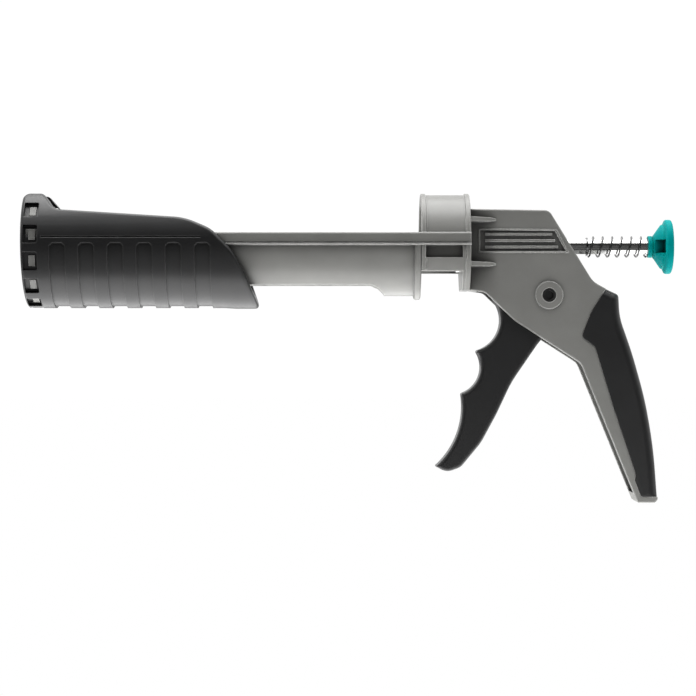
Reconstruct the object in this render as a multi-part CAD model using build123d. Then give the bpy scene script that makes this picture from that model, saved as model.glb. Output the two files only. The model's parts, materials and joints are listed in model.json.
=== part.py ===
from build123d import *
import os
from math import cos, radians, sin

# Skeleton caulking gun for standard 310 ml cartridges.
# X runs along the push rod, nose at -X and knob at +X. Z is up, Y is across.
# The origin is on the rod's axis, at the face the cartridge's rear end sits against.

# --- driving dimensions, in mm ---
CRADLE_FRONT_X = -218.5
PLATE_REAR_X = -214.8
BELL_END_X = -124.0
SLEEVE_FRONT_X = -220.8
EAR_FRONT_X = -222.0
EAR_TOP_Z = 29.2
BELL_OUTER_R = 30.2
BELL_INNER_R = 27.2
BELL_TOP_Z = 8.5
SHELL_OUTER_R = 27.8
SHELL_INNER_R = 25.8
SLEEVE_OUTER_R = 33.5
SLEEVE_MIDDLE_Z = -1.1
SLEEVE_REAR_R = 33.9
SLEEVE_SWELL_X = (-110.0, -104.0)
EAR_END_X = -200.0
EAR_GAP_HALF = 11.0
LIP_INNER_R = 26.2
LIP_GAP_HALF = 11.0
PLATE_EAR_TOP_Z = 24.0
SLEEVE_TOP_HALF = 24.4
NOZZLE_SLOT_R = 10.0
SHELL_BOTTOM_Z = -21.6
RAIL_TOP_Z = 6.9
RAIL_OUT_Y = 30.4
RAIL_LIP = 0.8
CUP_FRONT_X = -28.0
CUP_FULL_X = -19.8
SEAT_INNER_R = 23.4
COLLAR_OUTER_R = 29.2
COLLAR_BEAD_R = 30.0
COLLAR_BEAD_LENGTH = 2.9
COLLAR_BOTTOM_Z = -14.4
FLANGE_FRONT_X = 22.8
FLANGE_REAR_X = 27.4
FLANGE_BOTTOM_Z = -24.8
COLLAR_WINDOW_FRONT_X = 2.2
COLLAR_WINDOW_LOW_Z = -6.9
COLLAR_WINDOW_HIGH_Z = -0.2
COLLAR_WINDOW_FLOOR_Y = 26.0
COLLAR_LEDGE_Z = -13.9
SEAT_THICK = 2.4
RIB_OUTER_R = 30.0
RIB_LENGTH = 3.8

BODY_FRONT_X = 27.4
BODY_HALF = 13.0
BODY_WALL = 2.9
PANEL_DEPTH = 1.4
PANEL_BORDER = 0.9
PANEL_RIB_HALF = 0.7
PANEL_RIB_Z = (-0.6, 3.0, 6.6)
PANEL_RIB_FRONT_X = 36.0
BODY_EDGE_R = 1.0
GRIP_HALF = 13.4
PIVOT_X = 71.8
PIVOT_Z = -27.5
BOSS_R = 7.75
BOSS_HEIGHT = 0.8
BOLT_R = 2.6
BOLT_HEAD_R = 3.9

ROD_ACROSS_FLATS = 7.0
ROD_FRONT_X = -212.4
ROD_REAR_X = 139.5
RUNNING_GAP = 0.06
BODY_GAP = 0.3

NOSE_ARM = 18.5
NOSE_ANGLE = 4.0
NOSE_ROLLER_R = 3.6
NOSE_PIN_R = 1.6
NOSE_CHEEK_R = 3.2
NOSE_HALF = 4.0
ROLLER_HALF = 2.1
TRIGGER_HALF = 9.4
TRIGGER_EDGE_R = 2.0
CUSP_R = 1.1
SCOOPS = [(27.3, -41.3, 17.7), (18.3, -67.8, 15.6), (-21.6, -90.2, 45.1)]
TRIGGER_BOSS_R = 9.0
TRIGGER_BUSH_R = 5.0
DRIVE_THICK = 3.0
DRIVE_HALF = 8.5
DRIVE_LOW_Z = -13.5
DRIVE_HIGH_Z = 11.0

LOCK_TILT = 8.0
LOCK_THICK = 2.5
LOCK_FACE_X = 76.3
LOCK_HALF = 8.5
LOCK_PIN_X = 73.8
LOCK_PIN_Z = 9.2
LOCK_PIN_R = 1.5
LOCK_LUG_R = 2.8
LOCK_LEG_IN_Y = 5.2
LOCK_TAB_LOW_Z = -17.6
LOCK_TAB_HIGH_Z = -15.1
LOCK_TAB_REAR_X = 91.0
LOCK_SPRING_MEAN_R = 2.1
LOCK_SPRING_WIRE_R = 0.35
LOCK_SPRING_LENGTH = 4.2
LOCK_SPRING_TURNS = 5

SPRING_FRONT_X = 94.6
SPRING_REAR_X = 128.1
SPRING_OUTER_R = 6.05
SPRING_WIRE_R = 0.5
SPRING_TURNS = 6.0

KNOB_NECK_X = 128.4
KNOB_CONE_X = 131.0
KNOB_CONE_END_X = 135.8
KNOB_CONE_R = 12.4
KNOB_RIM_X = 138.0
KNOB_REAR_X = 141.7
KNOB_RIM_R = 15.3
KNOB_NECK_R = 6.15
KNOB_POCKETS = 3
KNOB_POCKET_HALF = 3.7
KNOB_POCKET_END_X = 137.3
KNOB_POCKET_OUTER_R = 13.5

GROOVE_COUNT = 6
GROOVE_FIRST_X = -201.0
GROOVE_PITCH = 16.0
GROOVE_WIDTH = 8.5
GROOVE_DEPTH = 1.1
GROOVE_TOP_Z = 0.9
GROOVE_CORNER = 1.6
LEDGE_Z = 3.9
LEDGE_DEPTH = 0.7
SLEEVE_EDGE_R = 2.0
SLEEVE_END_X = -80.0
WINDOW_FRONT_X = -219.9
WINDOW_REAR_X = -212.0
WINDOW_LENGTH = 10.2
WINDOW_DEPTH = 2.6
WINDOW_FIRST_TURN = 38.5
WINDOW_STEP = 26.4
WINDOWS_A_SIDE = 5
TAB_FRONT_X = -216.9
TAB_REAR_X = -213.4
TAB_LENGTH = 6.2
TAB_INNER_R = 28.5
TAB_OUTER_R = 31.6

GUSSET_OUT_Y = 24.0
GUSSET_TIP_X = 44.0
GUSSET_THICK = 2.9
GUSSET_HIGH_Z = 14.6
GUSSET_LOW_Z = -10.3
GRIP_CORE_HALF = 11.8
REAR_BUSH_R = 6.0
LOCK_PIN_HALF = 11.4
LUG_HALF = 2.6
BOLT_SEAT_Y = 11.2
BOLT_END_Y = 13.6
NUT_ACROSS_FLATS = 9.0
SOCKET_ACROSS_FLATS = 5.0
SOCKET_FLOOR_Y = 10.8
PLATE_HOLE_R = 4.5
RETURN_MEAN_R = 7.5
RETURN_WIRE_R = 0.7
RETURN_TURNS = 8

ROD_END_R = 2.9
ROD_SHOULDER_X = -201.4
ROD_STEP_X = 133.0
PLUNGER_R = 22.6
PLUNGER_NUT_FLATS = 10.0
CUP_X = -212.6
CUP_LENGTH = 6.0
CUP_WALL = 3.0
CUP_HUB_R = 9.0
DISC_THICK = 2.0
NUT_LENGTH = 3.2
KNOB_INSERT_R = 4.8
WASHER_R = 5.2
WASHER_THICK = 0.9

SCREW_END_X = 38.0
SCREW_Y = 9.4
SCREW_HIGH_Z = 14.5
SCREW_LOW_Z = -11.0
SCREW_R = 1.6
SCREW_HEAD_R = 3.0
SCREW_HEAD_LENGTH = 2.2
SCREW_POST_R = 3.2
SCREW_CROSS_LENGTH = 3.6
SCREW_CROSS_WIDTH = 0.8
WALL_FRONT_X = 22.8
BODY_WALL_X = 31.5
BUSH_R = 8.0
BUSH_FLANGE_R = 9.5
BUSH_FLANGE_THICK = 1.5
REAR_BUSH_FRONT_X = 80.6
REAR_BUSH_REAR_X = 90.0


# --- shared helpers ---
def side_shape(points, radii, half_width):
    """A closed outline in the XZ plane with rounded corners, made solid across Y."""
    line = FilletPolyline(*points, radius=radii, close=True)
    return extrude(Plane.XZ * make_face(line), amount=half_width, both=True)


def plain_side_shape(points, half_width):
    """A closed straight-sided outline in the XZ plane, made solid across Y."""
    line = Polyline(*points, close=True)
    return extrude(Plane.XZ * make_face(line), amount=half_width, both=True)


def round_side_edges(shape, half_width, radius):
    """Round the long edges round both flat sides of a shape that is solid across Y."""
    rim = [edge for edge in shape.edges() if abs(abs(edge.center().Y) - half_width) < 0.001]
    return fillet(rim, radius)


def x_rod(radius, x0, x1, y=0.0, z=0.0):
    """A round bar along X."""
    return Pos((x0 + x1) / 2, y, z) * Rot(0, 90, 0) * Cylinder(radius, x1 - x0)


def y_rod(radius, y0, y1, x, z):
    """A round bar along Y."""
    return Pos(x, (y0 + y1) / 2, z) * Rot(90, 0, 0) * Cylinder(radius, y1 - y0)


def block(x0, x1, y0, y1, z0, z1):
    """A rectangular block between two corners."""
    return Pos((x0 + x1) / 2, (y0 + y1) / 2, (z0 + z1) / 2) * Box(x1 - x0, y1 - y0, z1 - z0)


def tube(outer, inner, x0, x1):
    """A round tube along X."""
    return x_rod(outer, x0, x1) - x_rod(inner, x0 - 1, x1 + 1)


def u_bar(radius, x0, x1, top_z):
    """A solid bar with a half-round bottom and straight sides up to top_z."""
    lower = x_rod(radius, x0, x1) & block(x0, x1, -radius, radius, -radius, 0)
    return lower + block(x0, x1, -radius, radius, 0, top_z)


def hex_bar(across_flats, x0, x1):
    """A hexagonal bar along X with two flats facing sideways and corners up and down."""
    corner_r = across_flats / 2 / cos(radians(30))
    face = RegularPolygon(corner_r, 6, rotation=30)
    return extrude(Plane.YZ.offset(x0) * face, amount=x1 - x0)


def coil(mean_r, wire_r, x0, x1, turns, left=False):
    """A helical spring along X, its wire centre running from x0 to x1."""
    path = Helix(pitch=(x1 - x0) / turns, height=x1 - x0, radius=mean_r, lefthand=left)
    start = path @ 0
    section = Plane(origin=start, z_dir=path % 0) * Circle(wire_r)
    spring = sweep(section, path=path, is_frenet=True)
    return Pos(x0, 0, 0) * Rot(0, 90, 0) * spring


# --- cradle: the grey moulding that carries the cartridge ---
def cradle_bell():
    """The wide front part of the cradle, under the sleeve."""
    outer = u_bar(BELL_OUTER_R, CRADLE_FRONT_X, BELL_END_X, BELL_TOP_Z)
    inner = u_bar(BELL_INNER_R, PLATE_REAR_X, BELL_END_X + 1, 40.0)
    plate_ear = x_rod(BELL_INNER_R, CRADLE_FRONT_X, PLATE_REAR_X)
    plate_ear &= block(CRADLE_FRONT_X, PLATE_REAR_X, -40, 40, 0, PLATE_EAR_TOP_Z)
    slot = x_rod(NOZZLE_SLOT_R, CRADLE_FRONT_X - 1, PLATE_REAR_X + 1)
    slot += block(CRADLE_FRONT_X - 1, PLATE_REAR_X + 1, -NOZZLE_SLOT_R, NOZZLE_SLOT_R, 0, 40)
    return outer + plate_ear - inner - slot


def cradle_shell():
    """The thin rear shell: two side walls open below, closing into a cup at the back."""
    shell = u_bar(SHELL_OUTER_R, BELL_END_X, 0.0, RAIL_TOP_Z)
    shell -= u_bar(SHELL_INNER_R, BELL_END_X - 1, 1.0, 40.0)
    floor_cut_points = [
        (BELL_END_X - 1, SHELL_BOTTOM_Z),
        (CUP_FRONT_X, SHELL_BOTTOM_Z),
        (CUP_FRONT_X + 4.2, -23.5),
        (CUP_FULL_X - 1.4, -26.0),
        (CUP_FULL_X, -28.5),
        (CUP_FULL_X, -45.0),
        (BELL_END_X - 1, -45.0),
    ]
    return shell - plain_side_shape(floor_cut_points, 40)


def rail(side):
    """One side rail with its lip, running from the sleeve to the flange."""
    y_in = SHELL_INNER_R
    y_out = RAIL_OUT_Y
    bar = block(BELL_END_X - 8, FLANGE_REAR_X, y_in, y_out, 1.6, RAIL_TOP_Z)
    bar = fillet(bar.edges().filter_by(Axis.X).group_by(Axis.Z)[-1].sort_by(Axis.Y)[-1:], 1.2)
    lip = block(BELL_END_X - 8, FLANGE_REAR_X, y_in, y_out + RAIL_LIP, -0.1, 1.0)
    lip = fillet(lip.edges().filter_by(Axis.X).sort_by(Axis.Y)[-2:], 0.45)
    whole = bar + lip + block(BELL_END_X - 8, FLANGE_REAR_X, y_in, y_out - 0.8, 0.5, 2.0)
    keep_clear = u_bar(SHELL_INNER_R, BELL_END_X - 10, 0, 20) + x_rod(SEAT_INNER_R, -1, 40)
    whole -= keep_clear
    return whole if side > 0 else mirror(whole, about=Plane.XZ)


def collar():
    """The round rear collar, its seat for the cartridge, the beads and side recesses."""
    ring = tube(COLLAR_OUTER_R, SEAT_INNER_R, 0.0, FLANGE_REAR_X)
    front_bead = tube(COLLAR_BEAD_R, SEAT_INNER_R, 0.0, COLLAR_BEAD_LENGTH)
    rear_bead = tube(COLLAR_BEAD_R, SEAT_INNER_R, FLANGE_REAR_X - COLLAR_BEAD_LENGTH, FLANGE_REAR_X)
    for bead in (front_bead, rear_bead):
        rim = bead.edges().filter_by(GeomType.CIRCLE).sort_by(SortBy.RADIUS)[-2:]
        ring += fillet(rim, 0.7)
    ring -= block(-1, FLANGE_FRONT_X, -40, 40, -40, COLLAR_BOTTOM_Z)
    ring -= block(-1, FLANGE_REAR_X + 1, -40, 40, -40, FLANGE_BOTTOM_Z)
    for side in (-1, 1):
        y0, y1 = sorted((side * COLLAR_WINDOW_FLOOR_Y, side * 40))
        x0 = COLLAR_WINDOW_FRONT_X
        ring -= block(x0, FLANGE_FRONT_X, y0, y1, COLLAR_WINDOW_LOW_Z, COLLAR_WINDOW_HIGH_Z)
        ring -= block(x0, FLANGE_FRONT_X, y0, y1, -40, COLLAR_LEDGE_Z)
    return ring


def rear_wall():
    """The wall behind the collar that carries the front rod bush and the four screws."""
    wall = x_rod(COLLAR_OUTER_R, WALL_FRONT_X, FLANGE_REAR_X)
    wall &= block(0, 40, -40, 40, FLANGE_BOTTOM_Z, 40)
    return wall - x_rod(BUSH_R, 0, 40)


def cup_rib():
    """The thin rib ring round the cup, in front of the seat."""
    rib = tube(RIB_OUTER_R, SHELL_INNER_R, -RIB_LENGTH, 0.0)
    rim = rib.edges().filter_by(GeomType.CIRCLE).sort_by(SortBy.RADIUS)[-2:]
    rib = fillet(rim, 1.3)
    return rib & block(-10, 10, -40, 40, -40, 0)


def screw_places():
    """Y and Z of the four screws that join the cradle to the pistol body."""
    return [(y, z) for y in (-SCREW_Y, SCREW_Y) for z in (SCREW_LOW_Z, SCREW_HIGH_Z)]


def make_cradle():
    body = cradle_bell() + cradle_shell() + rail(1) + rail(-1)
    body += collar() + rear_wall() + cup_rib()
    seat = tube(SHELL_OUTER_R, SEAT_INNER_R, 0.0, SEAT_THICK)
    body += seat & block(-1, 10, -40, 40, COLLAR_BOTTOM_Z, 40)
    for tab in nose_tabs():
        body += tab
    for y, z in screw_places():
        body -= x_rod(SCREW_R, WALL_FRONT_X - 1, SCREW_END_X, y, z)
    return body


# --- nose sleeve: the black soft moulding over the front of the cradle ---
def sleeve_outline():
    """The sleeve's side view: tall ears at the front, a raked edge at the back."""
    points = [
        (EAR_FRONT_X, EAR_TOP_Z),
        (-211.0, EAR_TOP_Z),
        (-203.6, 19.9),
        (-131.0, 15.2),
        (-116.5, 9.0),
        (-104.5, -3.0),
        (-98.0, -15.0),
        (-89.6, -36.4),
        (SLEEVE_FRONT_X, -36.4),
    ]
    radii = [4.0, 3.0, 7.0, 35.0, 20.0, 25.0, 60.0, 2.5, 0.5]
    return side_shape(points, radii, 40)


def sleeve_rod(radius, x0, x1):
    """A round bar on the sleeve's own axis, which lies a little below the rod's."""
    return x_rod(radius, x0, x1, 0.0, SLEEVE_MIDDLE_Z)


def sleeve_radius(x):
    """The sleeve's outer radius at X: it swells slightly towards the back."""
    swell = (x - SLEEVE_SWELL_X[0]) / (SLEEVE_SWELL_X[1] - SLEEVE_SWELL_X[0])
    swell = min(max(swell, 0.0), 1.0)
    return SLEEVE_OUTER_R + swell * (SLEEVE_REAR_R - SLEEVE_OUTER_R)


def sleeve_blank():
    """The sleeve's outer form, turned about its own axis."""
    line = Polyline(
        (EAR_FRONT_X - 1, 0),
        (EAR_FRONT_X - 1, SLEEVE_OUTER_R),
        (SLEEVE_SWELL_X[0], SLEEVE_OUTER_R),
        (SLEEVE_SWELL_X[1], SLEEVE_REAR_R),
        (SLEEVE_END_X, SLEEVE_REAR_R),
        (SLEEVE_END_X, 0),
        close=True,
    )
    turned = revolve(Plane.XZ * make_face(line), Axis.X, 360)
    return Pos(0, 0, SLEEVE_MIDDLE_Z) * turned


def sleeve_hollow():
    """The space inside the sleeve: the bell and shell fit below, the cartridge passes above."""
    space = u_bar(BELL_INNER_R, PLATE_REAR_X, BELL_END_X, BELL_TOP_Z)
    space += u_bar(SHELL_OUTER_R, BELL_END_X, SLEEVE_END_X, RAIL_TOP_Z)
    space += block(EAR_END_X, SLEEVE_END_X, -SLEEVE_TOP_HALF, SLEEVE_TOP_HALF, 0, 50)
    space += x_rod(BELL_INNER_R, PLATE_REAR_X, EAR_END_X)
    space += block(PLATE_REAR_X, EAR_END_X, -EAR_GAP_HALF, EAR_GAP_HALF, 0, 50)
    space += x_rod(LIP_INNER_R, EAR_FRONT_X - 1, PLATE_REAR_X)
    space += block(EAR_FRONT_X - 1, PLATE_REAR_X, -LIP_GAP_HALF, LIP_GAP_HALF, 0, 50)
    return space


def finger_groove(middle_x):
    """One shallow groove across the sleeve, with its top corners cut off."""
    half = GROOVE_WIDTH / 2
    corner_z = GROOVE_TOP_Z - GROOVE_CORNER
    points = [
        (middle_x - half, -45.0),
        (middle_x - half, corner_z),
        (middle_x - half + GROOVE_CORNER, GROOVE_TOP_Z),
        (middle_x + half - GROOVE_CORNER, GROOVE_TOP_Z),
        (middle_x + half, corner_z),
        (middle_x + half, -45.0),
    ]
    floor = sleeve_rod(SLEEVE_OUTER_R - GROOVE_DEPTH, middle_x - 10, middle_x + 10)
    return plain_side_shape(points, 45) - floor


def window_turns():
    """The turns about the sleeve's axis at which the nose windows sit."""
    right = [WINDOW_FIRST_TURN - WINDOW_STEP * i for i in range(WINDOWS_A_SIDE)]
    left = [180.0 - turn for turn in right]
    return right + left + [-90.0]


def on_sleeve(turn, reach, shape):
    """Place a shape at a distance from the sleeve's axis, turned about it."""
    return Pos(0, 0, SLEEVE_MIDDLE_Z) * Rot(turn, 0, 0) * Pos(0, reach, 0) * shape


def nose_windows():
    """The row of shallow openings round the front edge of the sleeve."""
    length = WINDOW_REAR_X - WINDOW_FRONT_X
    slot = Box(length, 2 * WINDOW_DEPTH, WINDOW_LENGTH)
    slot = fillet(slot.edges().filter_by(Axis.Y).group_by(Axis.X)[-1], 1.2)
    middle = Pos((WINDOW_REAR_X + WINDOW_FRONT_X) / 2, 0, 0) * slot
    return [on_sleeve(turn, SLEEVE_OUTER_R, middle) for turn in window_turns()]


def nose_tabs():
    """The cradle's grey tabs that show inside the openings of the sleeve."""
    root_r = LIP_INNER_R - 2.0
    head = block(TAB_FRONT_X, TAB_REAR_X, TAB_INNER_R, TAB_OUTER_R, -TAB_LENGTH / 2, TAB_LENGTH / 2)
    root = block(TAB_FRONT_X, PLATE_REAR_X - 0.4, root_r, TAB_INNER_R, -TAB_LENGTH / 2, TAB_LENGTH / 2)
    tab = head + root
    return [on_sleeve(turn, 0.0, tab) for turn in window_turns()]


def on_sleeve_rim(edge):
    """True for the edges round the sleeve's outer face, where its side view is cut."""
    points = [edge @ 0.0, edge @ 0.5, edge @ 1.0]
    for point in points:
        reach = (point.Y**2 + (point.Z - SLEEVE_MIDDLE_Z) ** 2) ** 0.5
        if abs(reach - sleeve_radius(point.X)) > 0.02:
            return False
    for swell_x in SLEEVE_SWELL_X:
        if all(abs(point.X - swell_x) < 0.01 for point in points):
            return False
    return True


def make_sleeve(cradle):
    solid = (sleeve_blank() & sleeve_outline()) - sleeve_hollow()
    solid = fillet([edge for edge in solid.edges() if on_sleeve_rim(edge)], SLEEVE_EDGE_R)
    solid -= cradle
    for i in range(GROOVE_COUNT):
        solid -= finger_groove(GROOVE_FIRST_X + GROOVE_PITCH * i)
    for cut in nose_windows():
        solid -= cut
    ledge = block(-210.0, -122.0, -40, 40, LEDGE_Z, LEDGE_Z + LEDGE_DEPTH)
    solid -= ledge - sleeve_rod(SLEEVE_OUTER_R - LEDGE_DEPTH, -215, -100)
    return solid


# --- pistol body: the grey housing and handle core ---
def body_outline(half_width):
    """The whole side view of the housing and handle."""
    points = [
        (BODY_FRONT_X, 20.8),
        (71.8, 20.1),
        (96.4, -19.9),
        (103.7, -23.9),
        (111.0, -27.3),
        (111.7, -40.0),
        (118.6, -59.6),
        (126.1, -86.5),
        (130.6, -113.3),
        (132.8, -143.8),
        (121.3, -143.8),
        (89.6, -65.7),
        (52.6, -41.9),
        (38.7, -28.6),
        (36.0, -26.0),
        (BODY_FRONT_X, -24.8),
    ]
    radii = [0.5, 5.0, 12.0, 20.0, 2.5, 38.0, 240.0, 230.0, 260.0, 2.5, 1.5, 7.0, 25.0, 6.0, 5.0, 0.5]
    return side_shape(points, radii, half_width)


def body_hollow():
    """The space inside the housing and handle, open downwards and forwards."""
    points = [
        (BODY_WALL_X, 16.8),
        (68.4, 16.4),
        (92.7, -21.5),
        (99.0, -30.0),
        (105.0, -58.0),
        (113.0, -86.5),
        (119.5, -113.0),
        (123.6, -138.4),
        (105.0, -138.4),
        (80.0, -76.0),
        (60.0, -60.0),
        (BODY_WALL_X, -45.0),
    ]
    return plain_side_shape(points, BODY_HALF - BODY_WALL)


def gusset(side, z):
    """A tapering rib that braces the flange against the housing's side."""
    y_in = side * (BODY_HALF - 0.5)
    y_out = side * GUSSET_OUT_Y
    plan = Polyline((BODY_FRONT_X, y_in), (BODY_FRONT_X, y_out), (GUSSET_TIP_X, y_in), close=True)
    rib = Pos(0, 0, z) * extrude(make_face(plan), amount=GUSSET_THICK, both=True)
    half = GUSSET_THICK / 2
    points = [
        (BODY_FRONT_X - 1, z + half),
        (GUSSET_TIP_X - 5.0, z + half * 0.8),
        (GUSSET_TIP_X, z),
        (GUSSET_TIP_X - 5.0, z - half * 0.8),
        (BODY_FRONT_X - 1, z - half),
    ]
    return rib & side_shape(points, [0.1, 4.0, 0.6, 4.0, 0.1], 40)


def panel_points(inset):
    """The corners of the recessed side panel, moved inwards by the inset."""
    return [
        (32.2 + inset, 9.8 - inset),
        (76.0 - inset * 1.2, 9.2 - inset),
        (82.9 - inset * 2.0, -3.8 + inset),
        (32.2 + inset, -3.8 + inset),
    ]


def side_panel(side):
    """The recess cut into one side, and the raised border and ribs that decorate it."""
    face_y = side * BODY_HALF
    floor_y = face_y - side * PANEL_DEPTH
    deep = plain_side_shape(panel_points(PANEL_BORDER), 2)
    recess = Pos(0, face_y, 0) * deep
    recess &= block(20, 100, *sorted((floor_y, face_y + side * 3)), -30, 30)
    ring = plain_side_shape(panel_points(0.0), 2) - plain_side_shape(panel_points(PANEL_BORDER), 3)
    border = Pos(0, face_y, 0) * ring
    border &= block(20, 100, *sorted((face_y - side * 0.5, face_y + side * 0.3)), -30, 30)
    ribs = []
    for z in PANEL_RIB_Z:
        rear_x = 76.5 - 0.45 * z
        y0, y1 = sorted((floor_y - side * 0.2, face_y - side * 0.1))
        ribs.append(block(PANEL_RIB_FRONT_X, rear_x, y0, y1, z - PANEL_RIB_HALF, z + PANEL_RIB_HALF))
    return recess, border, ribs


def lock_frame():
    """A frame whose X is the lock plate's thickness and whose Z runs up along the plate."""
    return Pos(LOCK_FACE_X, 0, 0) * Rot(0, -LOCK_TILT, 0)


def rear_bush_boss():
    """The solid block behind the lock plate that carries the rear rod bush."""
    return block(REAR_BUSH_FRONT_X, REAR_BUSH_REAR_X, -BODY_HALF + 1, BODY_HALF - 1, -8.5, 5.0)


def make_body():
    body = round_side_edges(body_outline(BODY_HALF), BODY_HALF, BODY_EDGE_R) - body_hollow()
    body += rear_bush_boss() & body_outline(BODY_HALF)
    for side in (-1, 1):
        for z in (GUSSET_HIGH_Z, GUSSET_LOW_Z):
            body += gusset(side, z)
        recess, border, ribs = side_panel(side)
        body = body - recess + border
        for rib in ribs:
            body += rib
        y0, y1 = sorted((side * (BODY_HALF - 1), side * (BODY_HALF + BOSS_HEIGHT)))
        body += y_rod(BOSS_R, y0, y1, PIVOT_X, PIVOT_Z)
    for y, z in screw_places():
        post = x_rod(SCREW_POST_R, BODY_WALL_X - 1, SCREW_END_X + 1.5, y, z)
        body += post & block(0, 60, -BODY_HALF, BODY_HALF, -40, 18)
        body -= x_rod(SCREW_R, 20, SCREW_END_X, y, z)
    body -= x_rod(BUSH_R, 20, BODY_WALL_X + 1)
    body -= x_rod(REAR_BUSH_R, 79, 100)
    slot = Pos(LOCK_THICK / 2 + 0.3, 0, 0) * Box(LOCK_THICK + 3.2, 2 * LOCK_HALF + 1.2, 36)
    body -= lock_frame() * Pos(0, 0, -4.6) * slot
    body -= block(78.0, 100.0, -LOCK_HALF - 0.6, LOCK_HALF + 0.6, -19.5, -10.6)
    body -= y_rod(LOCK_LUG_R + 0.6, -LOCK_HALF - 0.6, LOCK_HALF + 0.6, LOCK_PIN_X, LOCK_PIN_Z)
    body -= y_rod(LOCK_PIN_R, -LOCK_PIN_HALF, LOCK_PIN_HALF, LOCK_PIN_X, LOCK_PIN_Z)
    body -= y_rod(BOLT_R, -20, 20, PIVOT_X, PIVOT_Z)
    body -= y_rod(BOLT_HEAD_R, -20, -BOLT_SEAT_Y, PIVOT_X, PIVOT_Z)
    body -= pivot_hexagon(NUT_ACROSS_FLATS, BOLT_SEAT_Y, 20)
    return body - grip_solid(True)


def pivot_hexagon(across_flats, y0, y1):
    """A hexagonal bar along Y on the pivot's axis."""
    bar = hex_bar(across_flats, y0, y1)
    return Pos(PIVOT_X, 0, PIVOT_Z) * Rot(0, 0, 90) * bar


# --- handle grip: the black soft back of the handle ---
def grip_outline():
    """The grip's side view, running past the back of the handle."""
    points = [
        (103.7, -20.0),
        (103.7, -23.9),
        (95.4, -36.8),
        (90.0, -50.8),
        (97.6, -56.4),
        (107.7, -89.9),
        (120.4, -127.9),
        (119.8, -131.2),
        (123.2, -140.3),
        (140.0, -140.3),
        (140.0, -20.0),
    ]
    radii = [0.5, 2.0, 30.0, 2.5, 5.0, 30.0, 1.5, 2.0, 1.5, 0.5, 0.5]
    return side_shape(points, radii, 40)


def grip_solid(for_cutting=False):
    """The grip as a wrap over the handle core."""
    outer = body_outline(BODY_HALF + 5 if for_cutting else GRIP_HALF)
    if not for_cutting:
        rear_edges = outer.edges().filter_by(on_handle_back)
        outer = fillet(rear_edges, 5.0)
    core = Pos(-3.0, 0, 0) * body_outline(GRIP_CORE_HALF)
    return (outer & grip_outline()) - core


def on_handle_back(edge):
    """True for the long edges down the back of the handle."""
    middle = edge.center()
    back_x = 111.0 + (min(-40.0, middle.Z) + 40.0) * -0.2
    return abs(abs(middle.Y) - GRIP_HALF) < 0.01 and middle.X > back_x - 1.0 and middle.Z < -28


# --- trigger and what is fixed to it ---
def near_scoop_ends(vertex):
    """True for the two cusps where one finger scoop meets the next."""
    for upper, lower in zip(SCOOPS, SCOOPS[1:]):
        to_upper = ((vertex.X - upper[0]) ** 2 + (vertex.Z - upper[1]) ** 2) ** 0.5
        to_lower = ((vertex.X - lower[0]) ** 2 + (vertex.Z - lower[1]) ** 2) ** 0.5
        if abs(to_upper - upper[2]) < 0.01 and abs(to_lower - lower[2]) < 0.01:
            return True
    return False


def trigger_outline(half_width):
    """The trigger's side view, with three round finger scoops down the front."""
    points = [
        (41.0, -23.2),
        (41.0, -32.0),
        (20.0, -60.0),
        (2.0, -120.0),
        (14.5, -127.0),
        (22.5, -124.2),
        (34.0, -110.3),
        (42.5, -94.5),
        (51.0, -76.5),
        (66.0, -54.5),
        (80.8, -38.0),
        (80.8, -24.0),
        (64.0, -19.5),
    ]
    radii = [3.2, 1.0, 1.0, 1.0, 8.0, 8.0, 30.0, 50.0, 60.0, 40.0, 5.0, 3.2, 3.2]
    shape = side_shape(points, radii, half_width)
    for x, z, radius in SCOOPS:
        shape -= y_rod(radius, -2 * half_width, 2 * half_width, x, z)
    cusps = [edge for edge in shape.edges().filter_by(Axis.Y) if near_scoop_ends(edge.center())]
    return fillet(cusps, CUSP_R)


def nose_place():
    """X and Z of the nose roller's centre."""
    x = PIVOT_X + NOSE_ARM * sin(radians(NOSE_ANGLE))
    z = PIVOT_Z + NOSE_ARM * cos(radians(NOSE_ANGLE))
    return x, z


def make_trigger():
    nose_x, nose_z = nose_place()
    body = round_side_edges(trigger_outline(TRIGGER_HALF), TRIGGER_HALF, TRIGGER_EDGE_R)
    body += y_rod(TRIGGER_BOSS_R, -TRIGGER_HALF, TRIGGER_HALF, PIVOT_X, PIVOT_Z)
    arm_points = [
        (PIVOT_X - 1.5, PIVOT_Z),
        (nose_x - NOSE_CHEEK_R, nose_z),
        (nose_x + NOSE_CHEEK_R, nose_z),
        (PIVOT_X + 6.0, PIVOT_Z),
    ]
    body += plain_side_shape(arm_points, NOSE_HALF)
    body += y_rod(NOSE_CHEEK_R, -NOSE_HALF, NOSE_HALF, nose_x, nose_z)
    body -= y_rod(NOSE_ROLLER_R + 0.8, -ROLLER_HALF - 0.1, ROLLER_HALF + 0.1, nose_x, nose_z)
    body -= y_rod(NOSE_PIN_R, -10, 10, nose_x, nose_z)
    return body - y_rod(TRIGGER_BUSH_R, -20, 20, PIVOT_X, PIVOT_Z)


def make_trigger_bush():
    bush = y_rod(TRIGGER_BUSH_R, -TRIGGER_HALF - 0.2, TRIGGER_HALF + 0.2, PIVOT_X, PIVOT_Z)
    return bush - y_rod(BOLT_R + RUNNING_GAP, -20, 20, PIVOT_X, PIVOT_Z)


def make_nose_pin():
    nose_x, nose_z = nose_place()
    return y_rod(NOSE_PIN_R, -NOSE_HALF, NOSE_HALF, nose_x, nose_z)


def make_nose_roller():
    nose_x, nose_z = nose_place()
    roller = y_rod(NOSE_ROLLER_R, -ROLLER_HALF, ROLLER_HALF, nose_x, nose_z)
    return roller - y_rod(NOSE_PIN_R, -10, 10, nose_x, nose_z)


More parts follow.
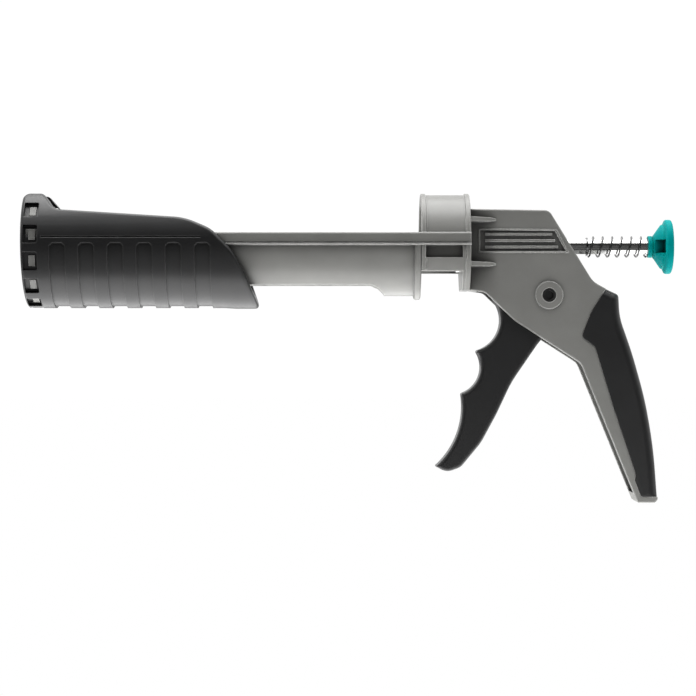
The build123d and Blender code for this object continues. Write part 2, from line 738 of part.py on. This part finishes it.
# --- pivot bolt, nut, lock pin and screws ---
def make_pivot_bolt():
    bolt = y_rod(BOLT_R, -BOLT_SEAT_Y, BOLT_END_Y, PIVOT_X, PIVOT_Z)
    bolt += y_rod(BOLT_HEAD_R, -BOLT_END_Y, -BOLT_SEAT_Y, PIVOT_X, PIVOT_Z)
    return bolt - pivot_hexagon(SOCKET_ACROSS_FLATS, -20, -SOCKET_FLOOR_Y)


def make_pivot_nut():
    nut = pivot_hexagon(NUT_ACROSS_FLATS, BOLT_SEAT_Y, BOLT_END_Y)
    return nut - y_rod(BOLT_R, 0, 30, PIVOT_X, PIVOT_Z)


def make_lock_pin():
    return y_rod(LOCK_PIN_R, -LOCK_PIN_HALF, LOCK_PIN_HALF, LOCK_PIN_X, LOCK_PIN_Z)


def make_screws():
    screws = []
    for y, z in screw_places():
        shank = x_rod(SCREW_R, WALL_FRONT_X, SCREW_END_X, y, z)
        head = x_rod(SCREW_HEAD_R, WALL_FRONT_X - SCREW_HEAD_LENGTH, WALL_FRONT_X, y, z)
        drive = Box(2.4, SCREW_CROSS_LENGTH, SCREW_CROSS_WIDTH)
        drive += Box(2.4, SCREW_CROSS_WIDTH, SCREW_CROSS_LENGTH)
        screws.append(shank + head - Pos(WALL_FRONT_X - SCREW_HEAD_LENGTH, y, z) * drive)
    return Compound(children=screws)


# --- drive plate, lock plate and their springs ---
def drive_rear_x():
    """X of the drive plate's rear face, just in front of the nose roller."""
    return nose_place()[0] - NOSE_ROLLER_R - BODY_GAP


def make_drive_plate():
    rear = drive_rear_x()
    plate = block(rear - DRIVE_THICK, rear, -DRIVE_HALF, DRIVE_HALF, DRIVE_LOW_Z, DRIVE_HIGH_Z)
    plate = fillet(plate.edges().filter_by(Axis.X), 3.0)
    return plate - x_rod(PLATE_HOLE_R, 0, 100)


def make_return_spring():
    x0 = BODY_WALL_X + BUSH_FLANGE_THICK + RETURN_WIRE_R + 0.05
    x1 = drive_rear_x() - DRIVE_THICK - RETURN_WIRE_R - 0.1
    return coil(RETURN_MEAN_R, RETURN_WIRE_R, x0, x1, RETURN_TURNS)


def make_lock_plate():
    plate = Pos(LOCK_THICK / 2, 0, -0.2) * Box(LOCK_THICK, 2 * LOCK_HALF, 10.6)
    plate += Pos(LOCK_THICK / 2, 0, 6.5) * Box(LOCK_THICK, 2 * LUG_HALF, 6.0)
    for side in (-1, 1):
        leg_y = side * (LOCK_HALF + LOCK_LEG_IN_Y) / 2
        plate += Pos(LOCK_THICK / 2, leg_y, -10.8) * Box(LOCK_THICK, LOCK_HALF - LOCK_LEG_IN_Y, 12)
    plate = lock_frame() * plate
    plate += block(81.0, LOCK_TAB_REAR_X, -LOCK_HALF, LOCK_HALF, LOCK_TAB_LOW_Z, LOCK_TAB_HIGH_Z)
    for side in (-1, 1):
        y0, y1 = sorted((side * LOCK_LEG_IN_Y, side * LOCK_HALF))
        plate += block(79.6, 81.5, y0, y1, LOCK_TAB_LOW_Z, LOCK_TAB_HIGH_Z)
    plate += y_rod(LOCK_LUG_R, -LUG_HALF, LUG_HALF, LOCK_PIN_X, LOCK_PIN_Z)
    plate -= x_rod(PLATE_HOLE_R + 0.2, 60, 100)
    return plate - y_rod(LOCK_PIN_R + RUNNING_GAP, -20, 20, LOCK_PIN_X, LOCK_PIN_Z)


def make_lock_spring():
    wound = coil(LOCK_SPRING_MEAN_R, LOCK_SPRING_WIRE_R, 0, LOCK_SPRING_LENGTH, LOCK_SPRING_TURNS)
    return Pos(LOCK_PIN_X, LUG_HALF + 0.6, LOCK_PIN_Z) * Rot(0, 0, 90) * wound


# --- rod bushes ---
def make_front_bush():
    bush = x_rod(BUSH_R, WALL_FRONT_X, BODY_WALL_X)
    bush += x_rod(BUSH_FLANGE_R, BODY_WALL_X, BODY_WALL_X + BUSH_FLANGE_THICK)
    return bush - hex_bar(ROD_ACROSS_FLATS + 2 * RUNNING_GAP, 0, 60)


def make_rear_bush():
    bush = x_rod(REAR_BUSH_R, REAR_BUSH_FRONT_X, REAR_BUSH_REAR_X) & body_outline(BODY_HALF)
    return bush - hex_bar(ROD_ACROSS_FLATS + 2 * RUNNING_GAP, 60, 120)


# --- push rod and what is fixed to it ---
def make_rod():
    rod = hex_bar(ROD_ACROSS_FLATS, ROD_SHOULDER_X, ROD_STEP_X)
    rod += x_rod(ROD_END_R, ROD_FRONT_X, ROD_SHOULDER_X)
    rod += x_rod(ROD_END_R, ROD_STEP_X, ROD_REAR_X)
    return rod


def make_plunger_cup():
    cup = x_rod(PLUNGER_R, CUP_X, CUP_X + CUP_LENGTH)
    cup = chamfer(cup.edges().group_by(Axis.X)[0], 1.0)
    hollow = x_rod(PLUNGER_R - CUP_WALL, CUP_X + CUP_WALL, CUP_X + CUP_LENGTH + 1)
    cup -= hollow - x_rod(CUP_HUB_R, CUP_X, CUP_X + CUP_LENGTH + 2)
    cup -= hex_bar(PLUNGER_NUT_FLATS + 0.4, CUP_X - 1, CUP_X + 3.4)
    return cup - x_rod(ROD_END_R, CUP_X - 1, CUP_X + 8)


def make_plunger_disc():
    disc = x_rod(PLUNGER_R - 0.8, CUP_X + CUP_LENGTH, CUP_X + CUP_LENGTH + DISC_THICK)
    return disc - x_rod(ROD_END_R, -300, 0)


def plunger_nut(x0):
    """One hexagon nut on the rod's front end, starting at x0."""
    return hex_bar(PLUNGER_NUT_FLATS, x0, x0 + NUT_LENGTH) - x_rod(ROD_END_R, -300, 0)


def make_plunger_nuts():
    front = plunger_nut(CUP_X + 0.2)
    rear = plunger_nut(CUP_X + CUP_LENGTH + DISC_THICK)
    return Compound(children=[front, rear])


def make_buffer_spring():
    mean_r = SPRING_OUTER_R - SPRING_WIRE_R
    x0 = SPRING_FRONT_X + SPRING_WIRE_R
    x1 = SPRING_REAR_X - SPRING_WIRE_R - 0.1
    return coil(mean_r, SPRING_WIRE_R, x0, x1, SPRING_TURNS, True)


def make_spring_clip():
    rear_x = SPRING_FRONT_X - 0.1
    washer = x_rod(WASHER_R, rear_x - WASHER_THICK, rear_x)
    return washer - hex_bar(ROD_ACROSS_FLATS, 60, 120)


def knob_profile():
    """Half of the knob's section through its axis."""
    line = FilletPolyline(
        (KNOB_NECK_X, 0),
        (KNOB_NECK_X, KNOB_NECK_R),
        (KNOB_CONE_X - 0.4, KNOB_NECK_R),
        (KNOB_CONE_X, KNOB_NECK_R - 0.4),
        (KNOB_CONE_END_X, KNOB_CONE_R),
        (KNOB_CONE_END_X + 1.0, KNOB_CONE_R + 0.2),
        (KNOB_RIM_X, KNOB_RIM_R),
        (KNOB_REAR_X - 0.2, KNOB_RIM_R),
        (KNOB_REAR_X, KNOB_RIM_R - 2.1),
        (KNOB_REAR_X + 0.5, 0),
        radius=[0, 0.5, 0, 0, 0.4, 0, 1.2, 1.2, 0.8, 0],
        close=True,
    )
    return Plane.XZ * make_face(line)


def knob_pocket(turn):
    """One straight-sided pocket in the cone of the knob."""
    pocket = block(KNOB_CONE_X, KNOB_POCKET_END_X, -40, -KNOB_NECK_R, -KNOB_POCKET_HALF, KNOB_POCKET_HALF)
    pocket &= x_rod(KNOB_POCKET_OUTER_R, KNOB_NECK_X, KNOB_REAR_X)
    return Rot(turn, 0, 0) * pocket


def make_knob():
    knob = revolve(knob_profile(), Axis.X, 360)
    for i in range(KNOB_POCKETS):
        knob -= knob_pocket(360 / KNOB_POCKETS * i)
    knob -= hex_bar(ROD_ACROSS_FLATS, 120, ROD_STEP_X)
    return knob - x_rod(KNOB_INSERT_R, ROD_STEP_X, ROD_REAR_X)


def make_knob_insert():
    return x_rod(KNOB_INSERT_R, ROD_STEP_X, ROD_REAR_X) - x_rod(ROD_END_R, 100, 200)


def main():
    os.makedirs("parts", exist_ok=True)
    cradle = make_cradle()
    nodes = {
        "cradle": cradle,
        "nose_sleeve": make_sleeve(cradle),
        "pistol_body": make_body(),
        "handle_grip": grip_solid(),
        "cradle_screws": make_screws(),
        "pivot_bolt": make_pivot_bolt(),
        "pivot_nut": make_pivot_nut(),
        "lock_pin": make_lock_pin(),
        "lock_spring": make_lock_spring(),
        "front_bush": make_front_bush(),
        "rear_bush": make_rear_bush(),
        "return_spring": make_return_spring(),
        "drive_plate": make_drive_plate(),
        "lock_plate": make_lock_plate(),
        "trigger": make_trigger(),
        "trigger_bush": make_trigger_bush(),
        "nose_pin": make_nose_pin(),
        "nose_roller": make_nose_roller(),
        "push_rod": make_rod(),
        "plunger_cup": make_plunger_cup(),
        "plunger_disc": make_plunger_disc(),
        "plunger_nuts": make_plunger_nuts(),
        "buffer_spring": make_buffer_spring(),
        "spring_clip": make_spring_clip(),
        "knob": make_knob(),
        "knob_insert": make_knob_insert(),
    }
    for name, shape in nodes.items():
        print(name, round(shape.volume, 1), len(shape.solids()), shape.is_valid)
        export_step(shape, f"parts/{name}.step")


main()
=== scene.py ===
import json
import math

import bpy
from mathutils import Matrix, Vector


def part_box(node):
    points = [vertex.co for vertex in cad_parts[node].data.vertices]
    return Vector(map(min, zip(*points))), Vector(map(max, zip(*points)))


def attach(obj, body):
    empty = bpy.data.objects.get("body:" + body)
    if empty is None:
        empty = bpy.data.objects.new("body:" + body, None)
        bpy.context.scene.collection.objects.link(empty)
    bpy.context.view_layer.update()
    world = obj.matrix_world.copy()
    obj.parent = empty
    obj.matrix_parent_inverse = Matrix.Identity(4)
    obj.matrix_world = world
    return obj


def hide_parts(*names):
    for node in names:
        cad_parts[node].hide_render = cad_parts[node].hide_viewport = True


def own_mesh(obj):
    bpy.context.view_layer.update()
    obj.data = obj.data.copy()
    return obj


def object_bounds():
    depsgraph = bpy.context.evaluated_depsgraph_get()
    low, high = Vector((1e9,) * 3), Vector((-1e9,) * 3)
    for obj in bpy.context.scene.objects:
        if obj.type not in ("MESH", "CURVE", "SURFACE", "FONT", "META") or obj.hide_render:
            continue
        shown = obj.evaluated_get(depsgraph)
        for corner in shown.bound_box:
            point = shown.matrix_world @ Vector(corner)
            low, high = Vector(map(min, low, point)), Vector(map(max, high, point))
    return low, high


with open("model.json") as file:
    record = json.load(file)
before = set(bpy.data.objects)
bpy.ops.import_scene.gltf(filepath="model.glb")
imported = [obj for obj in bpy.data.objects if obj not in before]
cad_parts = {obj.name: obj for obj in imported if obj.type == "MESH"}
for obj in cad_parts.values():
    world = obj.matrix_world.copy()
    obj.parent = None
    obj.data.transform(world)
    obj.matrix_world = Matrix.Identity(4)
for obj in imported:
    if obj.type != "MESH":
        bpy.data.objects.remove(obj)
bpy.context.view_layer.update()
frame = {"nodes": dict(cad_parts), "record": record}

# --- camera: level, square to the tool's side, at the photograph's distance ---
CAMERA_X = -0.0407
CAMERA_Z = -0.0571
CAMERA_DISTANCE = 1.27
FRAME_WIDTH = 0.39324
SENSOR_MM = 36.0

camera_data = bpy.data.cameras.new("camera")
camera_data.sensor_width = SENSOR_MM
camera_data.lens = SENSOR_MM * CAMERA_DISTANCE / FRAME_WIDTH
camera_data.clip_end = 50.0
camera = bpy.data.objects.new("camera", camera_data)
camera.location = (CAMERA_X, -CAMERA_DISTANCE, CAMERA_Z)
camera.rotation_euler = (math.radians(90), 0, 0)
bpy.context.scene.collection.objects.link(camera)
bpy.context.scene.camera = camera


# --- stage: a flat pale floor, well below the tool ---
FLOOR_DROP = 0.2
FLOOR_RADIUS = 12.0
FLOOR_SIDES = 96
FLOOR_GREY = 0.3


def make_floor():
    """A wide disc below the tool: white to the camera, and grey in the light that it throws back."""
    floor_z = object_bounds()[0][2] - FLOOR_DROP
    verts = [(0.0, 0.0, floor_z)]
    for j in range(FLOOR_SIDES):
        a = 2 * math.pi * j / FLOOR_SIDES
        verts.append((FLOOR_RADIUS * math.cos(a), FLOOR_RADIUS * math.sin(a), floor_z))
    faces = [(0, 1 + j, 1 + (j + 1) % FLOOR_SIDES) for j in range(FLOOR_SIDES)]
    mesh = bpy.data.meshes.new("floor")
    mesh.from_pydata(verts, [], faces)
    mesh.update()
    floor = bpy.data.objects.new("floor", mesh)
    bpy.context.scene.collection.objects.link(floor)
    mat = bpy.data.materials.new("floor_white")
    mat.use_nodes = True
    tree = mat.node_tree
    shader = tree.nodes["Principled BSDF"]
    shader.inputs["Base Color"].default_value = (FLOOR_GREY, FLOOR_GREY, FLOOR_GREY, 1)
    shader.inputs["Roughness"].default_value = 0.9
    shader.inputs["Specular IOR Level"].default_value = 0.0
    glow = tree.nodes.new("ShaderNodeEmission")
    path = tree.nodes.new("ShaderNodeLightPath")
    mix = tree.nodes.new("ShaderNodeMixShader")
    tree.links.new(path.outputs["Is Camera Ray"], mix.inputs["Fac"])
    tree.links.new(shader.outputs["BSDF"], mix.inputs[1])
    tree.links.new(glow.outputs["Emission"], mix.inputs[2])
    tree.links.new(mix.outputs["Shader"], tree.nodes["Material Output"].inputs["Surface"])
    mesh.materials.append(mat)


# --- light: a bright surround that is dim on the side towards -Y, and three soft lamps ---
LIGHT_FRONT = 0.03
LIGHT_REST = 1.02
LIGHT_DIRECTION = (0.0, 1.0, 0.85)
LIGHT_DIM_AT = -0.48
LIGHT_FULL_AT = 0.12


def make_world(front, rest):
    """Soft white light that is dim from the front. The camera itself sees the full level everywhere."""
    world = bpy.data.worlds.new("world")
    bpy.context.scene.world = world
    world.use_nodes = True
    tree = world.node_tree
    coord = tree.nodes.new("ShaderNodeTexCoord")
    dim_side = tree.nodes.new("ShaderNodeVectorMath")
    dim_side.operation = "DOT_PRODUCT"
    dim_side.inputs[1].default_value = LIGHT_DIRECTION
    tree.links.new(coord.outputs["Generated"], dim_side.inputs[0])
    level = tree.nodes.new("ShaderNodeMapRange")
    level.interpolation_type = "SMOOTHSTEP"
    level.inputs["From Min"].default_value = LIGHT_DIM_AT
    level.inputs["From Max"].default_value = LIGHT_FULL_AT
    level.inputs["To Min"].default_value = front
    level.inputs["To Max"].default_value = rest
    tree.links.new(dim_side.outputs["Value"], level.inputs["Value"])
    path = tree.nodes.new("ShaderNodeLightPath")
    seen = tree.nodes.new("ShaderNodeMix")
    tree.links.new(path.outputs["Is Camera Ray"], seen.inputs["Factor"])
    tree.links.new(level.outputs["Result"], seen.inputs["A"])
    seen.inputs["B"].default_value = rest
    tree.links.new(seen.outputs["Result"], tree.nodes["Background"].inputs["Strength"])
    tree.nodes["Background"].inputs["Color"].default_value = (1, 1, 1, 1)


def add_area(name, place, target, size, power, size_y=None):
    """A soft square or rectangular light that points at the target and that the camera doesn't see."""
    data = bpy.data.lights.new(name, "AREA")
    data.energy = power
    data.size = size
    if size_y:
        data.shape = "RECTANGLE"
        data.size_y = size_y
    lamp = bpy.data.objects.new(name, data)
    lamp.location = place
    lamp.visible_camera = False
    lamp.rotation_euler = (Vector(target) - Vector(place)).to_track_quat("-Z", "Y").to_euler()
    bpy.context.scene.collection.objects.link(lamp)


make_floor()
make_world(LIGHT_FRONT, LIGHT_REST)
add_area("top", (-0.05, 0.15, 1.4), (-0.04, 0, 0), 1.4, 26)
add_area("under", (-0.04, 0.24, -0.34), (-0.04, 0.24, 0.5), 1.5, 10.5, 0.9)
add_area("low_fill", (0.16, -0.55, -0.3), (0.075, 0, -0.03), 0.3, 0.3)
bpy.context.scene.view_settings.view_transform = "Standard"


# --- materials: lengths and bump heights in metres ---
EDGE_WIDTH = 0.0008
EDGE_STARTS_AT = 0.985
EDGE_FULL_AT = 0.91
MOTTLE_SCALE = 60.0
# Random patches that break up the painted edge highlight.
PATCH_SCALE = 220.0
PATCH_FROM = 0.15
PATCH_TO = 0.5
# Painted shade in corners and under overhangs: the occlusion levels where it is full and where it ends.
PAINTED_SHADE_FULL_AT = 0.35
PAINTED_SHADE_NONE_AT = 0.95
ROUGH_SPREAD = 0.08
BUMP_STRENGTH = 0.5
STREAKS = 900.0
STREAK_STRETCH = 60.0
STREAK_HEIGHT = 0.00003
STREAK_STRENGTH = 0.25
STREAK_MOTTLE = 0.08
# Painted shade in corners and under overhangs: how far it reaches, and its darkest level.
PAINTED_SHADE_REACH = 0.008
PAINTED_SHADE_REACH_GREY = 0.018
PAINTED_SHADE_DARKEST = 0.15
SHINE = 0.5
SHINE_TEAL = 0.03
# The lighter colour of each pair below is a painted highlight for the edges of that material.
GREY = (0.25, 0.249, 0.236)
GREY_EDGE_HIGHLIGHT = (0.86, 0.86, 0.83)
BLACK_SOFT = (0.011, 0.011, 0.0115)
BLACK_SOFT_EDGE_HIGHLIGHT = (0.05, 0.05, 0.05)
BLACK_HARD = (0.012, 0.012, 0.0125)
BLACK_HARD_EDGE_HIGHLIGHT = (0.05, 0.05, 0.05)
TEAL = (0.0, 0.33, 0.33)
TEAL_EDGE_HIGHLIGHT = (0.0, 0.6, 0.5)
WHITE = (0.7, 0.7, 0.67)
WHITE_EDGE_HIGHLIGHT = (0.8, 0.8, 0.78)


def new_material(name, color, roughness, metallic=0.0):
    """A new material and its shader, with the plain values on the shader's own sockets."""
    mat = bpy.data.materials.new(name)
    mat.use_nodes = True
    shader = mat.node_tree.nodes["Principled BSDF"]
    shader.inputs["Base Color"].default_value = (*color, 1)
    shader.inputs["Roughness"].default_value = roughness
    shader.inputs["Metallic"].default_value = metallic
    return mat, shader


def noise(tree, scale, detail=2.0, roughness=0.5):
    """A noise texture on object coordinates."""
    coord = tree.nodes.new("ShaderNodeTexCoord")
    tex = tree.nodes.new("ShaderNodeTexNoise")
    tex.inputs["Scale"].default_value = scale
    tex.inputs["Detail"].default_value = detail
    tex.inputs["Roughness"].default_value = roughness
    tree.links.new(coord.outputs["Object"], tex.inputs["Vector"])
    return tex


def ramp(tree, source, low, high, low_at=0.35, high_at=0.65):
    """A two-colour ramp driven by a value."""
    node = tree.nodes.new("ShaderNodeValToRGB")
    node.color_ramp.elements[0].position = low_at
    node.color_ramp.elements[0].color = (*low, 1)
    node.color_ramp.elements[1].position = high_at
    node.color_ramp.elements[1].color = (*high, 1)
    tree.links.new(source, node.inputs["Fac"])
    return node


def spread(color, amount):
    """The colour a little darker and a little lighter."""
    return tuple(c * (1 - amount) for c in color), tuple(c * (1 + amount) for c in color)


def edge_mask(tree, radius):
    """White on the edges of a piece and black on its faces, from how far a bevel turns the normal."""
    bevel = tree.nodes.new("ShaderNodeBevel")
    bevel.samples = 4
    bevel.inputs["Radius"].default_value = radius
    geometry = tree.nodes.new("ShaderNodeNewGeometry")
    turned = tree.nodes.new("ShaderNodeVectorMath")
    turned.operation = "DOT_PRODUCT"
    tree.links.new(bevel.outputs["Normal"], turned.inputs[0])
    tree.links.new(geometry.outputs["Normal"], turned.inputs[1])
    mask = tree.nodes.new("ShaderNodeMapRange")
    mask.inputs["From Min"].default_value = EDGE_STARTS_AT
    mask.inputs["From Max"].default_value = EDGE_FULL_AT
    tree.links.new(turned.outputs["Value"], mask.inputs["Value"])
    return mask.outputs["Result"], bevel.outputs["Normal"]


def painted_crevice_shade(tree, reach, darkest):
    """A grey that is white on open faces and darker in corners and under overhangs: painted shade from an
    ambient-occlusion mask.
    """
    closeness = tree.nodes.new("ShaderNodeAmbientOcclusion")
    closeness.samples = 6
    closeness.inputs["Distance"].default_value = reach
    shade = tree.nodes.new("ShaderNodeMapRange")
    shade.inputs["From Min"].default_value = PAINTED_SHADE_FULL_AT
    shade.inputs["From Max"].default_value = PAINTED_SHADE_NONE_AT
    shade.inputs["To Min"].default_value = darkest
    shade.inputs["To Max"].default_value = 1.0
    tree.links.new(closeness.outputs["AO"], shade.inputs["Value"])
    return shade.outputs["Result"]


def moulded(name, color, roughness, grain_scale, grain_height, mottle, edge_highlight, shine, reach):
    """Moulded plastic: grained and mottled, with a painted highlight on its edges and painted shade in its
    corners.
    """
    mat, shader = new_material(name, color, roughness)
    shader.inputs["Specular IOR Level"].default_value = shine
    tree = mat.node_tree
    broad = noise(tree, MOTTLE_SCALE, 4.0)
    low, high = spread(color, mottle)
    tint = ramp(tree, broad.outputs["Fac"], low, high)
    edges, rounded = edge_mask(tree, EDGE_WIDTH)
    patchy = noise(tree, PATCH_SCALE, 3.0)
    highlight_patches = tree.nodes.new("ShaderNodeMapRange")
    highlight_patches.inputs["From Min"].default_value = PATCH_FROM
    highlight_patches.inputs["From Max"].default_value = PATCH_TO
    tree.links.new(patchy.outputs["Fac"], highlight_patches.inputs["Value"])
    amount = tree.nodes.new("ShaderNodeMath")
    amount.operation = "MULTIPLY"
    tree.links.new(edges, amount.inputs[0])
    tree.links.new(highlight_patches.outputs["Result"], amount.inputs[1])
    # Painted highlight: on edges, in random patches, the colour is lightened towards the edge colour.
    mix = tree.nodes.new("ShaderNodeMixRGB")
    mix.inputs["Color2"].default_value = (*edge_highlight, 1)
    tree.links.new(amount.outputs["Value"], mix.inputs["Fac"])
    tree.links.new(tint.outputs["Color"], mix.inputs["Color1"])
    # Painted shade: the colour is darkened in corners and under overhangs.
    shaded_tint = tree.nodes.new("ShaderNodeVectorMath")
    shaded_tint.operation = "SCALE"
    tree.links.new(mix.outputs["Color"], shaded_tint.inputs[0])
    tree.links.new(painted_crevice_shade(tree, reach, PAINTED_SHADE_DARKEST), shaded_tint.inputs["Scale"])
    tree.links.new(shaded_tint.outputs["Vector"], shader.inputs["Base Color"])
    fine = noise(tree, grain_scale, 3.0, 0.6)
    gloss = ramp(tree, fine.outputs["Fac"], (roughness - ROUGH_SPREAD,) * 3, (roughness + ROUGH_SPREAD,) * 3)
    tree.links.new(gloss.outputs["Color"], shader.inputs["Roughness"])
    bump = tree.nodes.new("ShaderNodeBump")
    bump.inputs["Strength"].default_value = BUMP_STRENGTH
    bump.inputs["Distance"].default_value = grain_height
    tree.links.new(fine.outputs["Fac"], bump.inputs["Height"])
    tree.links.new(rounded, bump.inputs["Normal"])
    tree.links.new(bump.outputs["Normal"], shader.inputs["Normal"])
    return mat


def metal(name, color, roughness, streak_axis):
    """Metal with fine drawn lines along one axis."""
    mat, shader = new_material(name, color, roughness, 1.0)
    tree = mat.node_tree
    coord = tree.nodes.new("ShaderNodeTexCoord")
    mapping = tree.nodes.new("ShaderNodeMapping")
    scale = [STREAKS] * 3
    scale[streak_axis] = STREAKS / STREAK_STRETCH
    mapping.inputs["Scale"].default_value = scale
    tex = tree.nodes.new("ShaderNodeTexNoise")
    tex.inputs["Scale"].default_value = 1.0
    tex.inputs["Detail"].default_value = 3.0
    tree.links.new(coord.outputs["Object"], mapping.inputs["Vector"])
    tree.links.new(mapping.outputs["Vector"], tex.inputs["Vector"])
    gloss = ramp(tree, tex.outputs["Fac"], (roughness - 0.06,) * 3, (roughness + 0.08,) * 3)
    tree.links.new(gloss.outputs["Color"], shader.inputs["Roughness"])
    low, high = spread(color, STREAK_MOTTLE)
    tint = ramp(tree, tex.outputs["Fac"], low, high)
    tree.links.new(tint.outputs["Color"], shader.inputs["Base Color"])
    bump = tree.nodes.new("ShaderNodeBump")
    bump.inputs["Strength"].default_value = STREAK_STRENGTH
    bump.inputs["Distance"].default_value = STREAK_HEIGHT
    tree.links.new(tex.outputs["Fac"], bump.inputs["Height"])
    tree.links.new(bump.outputs["Normal"], shader.inputs["Normal"])
    return mat


materials = {
    "grey_plastic": moulded(
        "grey_plastic", GREY, 0.36, 1500.0, 0.00005, 0.05, GREY_EDGE_HIGHLIGHT, SHINE, PAINTED_SHADE_REACH_GREY
    ),
    "black_soft": moulded(
        "black_soft", BLACK_SOFT, 0.38, 2200.0, 0.00002, 0.12, BLACK_SOFT_EDGE_HIGHLIGHT, SHINE, PAINTED_SHADE_REACH
    ),
    "black_plastic": moulded(
        "black_plastic", BLACK_HARD, 0.36, 1800.0, 0.00003, 0.1, BLACK_HARD_EDGE_HIGHLIGHT, SHINE, PAINTED_SHADE_REACH
    ),
    "plated_steel": metal("plated_steel", (0.72, 0.72, 0.71), 0.2, 0),
    "dark_steel": metal("dark_steel", (0.07, 0.07, 0.07), 0.4, 1),
    "spring_steel": metal("spring_steel", (0.13, 0.13, 0.13), 0.2, 0),
    "teal_plastic": moulded(
        "teal_plastic", TEAL, 0.4, 1400.0, 0.00003, 0.06, TEAL_EDGE_HIGHLIGHT, SHINE_TEAL, PAINTED_SHADE_REACH
    ),
    "white_plastic": moulded(
        "white_plastic", WHITE, 0.4, 1500.0, 0.00003, 0.03, WHITE_EDGE_HIGHLIGHT, SHINE, PAINTED_SHADE_REACH
    ),
    "brass": metal("brass", (0.62, 0.43, 0.17), 0.3, 0),
}

slot_of = {row["node"]: row["material_slot"] for row in frame["record"]["subparts"]}
for node, obj in frame["nodes"].items():
    mesh = obj.data
    mesh.materials.clear()
    mesh.materials.append(materials[slot_of[node]])


# --- return spring: a wire coil drawn at rest in place of the CAD spring; the real one shortens as the drive plate moves forward ---
RETURN_WIRE_R = 0.0007
RETURN_TURNS = 8
RETURN_STEPS = 40
RETURN_SIDES = 10


def make_return_spring():
    """A wire coil in the space of the CAD spring, drawn at rest; the drive plate presses the real spring
    towards its front end.
    """
    low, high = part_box("return_spring")
    coil_r = (high[2] - low[2]) / 2 - RETURN_WIRE_R
    start_x = low[0] + RETURN_WIRE_R
    length = high[0] - low[0] - 2 * RETURN_WIRE_R
    count = RETURN_TURNS * RETURN_STEPS
    verts = []
    for i in range(count + 1):
        turn = 2 * math.pi * i / RETURN_STEPS
        outward = Vector((0, math.cos(turn), math.sin(turn)))
        middle = Vector((start_x + length * i / count, 0, 0)) + outward * coil_r
        along = Vector((length / count, 0, 0)) + Vector((0, -math.sin(turn), math.cos(turn))) * (
            2 * math.pi * coil_r / RETURN_STEPS
        )
        across = along.normalized().cross(outward)
        for j in range(RETURN_SIDES):
            a = 2 * math.pi * j / RETURN_SIDES
            verts.append(middle + (outward * math.cos(a) + across * math.sin(a)) * RETURN_WIRE_R)
    faces = [tuple(range(RETURN_SIDES - 1, -1, -1))]
    for i in range(count):
        for j in range(RETURN_SIDES):
            k = (j + 1) % RETURN_SIDES
            base = i * RETURN_SIDES
            faces.append((base + j, base + k, base + RETURN_SIDES + k, base + RETURN_SIDES + j))
    faces.append(tuple(count * RETURN_SIDES + j for j in range(RETURN_SIDES)))
    mesh = bpy.data.meshes.new("return_spring_coil")
    mesh.from_pydata([tuple(v) for v in verts], [], faces)
    mesh.polygons.foreach_set("use_smooth", [True] * len(mesh.polygons))
    mesh.update()
    coil = bpy.data.objects.new("return_spring_coil", mesh)
    bpy.context.scene.collection.objects.link(coil)
    mesh.materials.append(materials["spring_steel"])
    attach(coil, "frame")
    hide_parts("return_spring")
    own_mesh(coil)


make_return_spring()
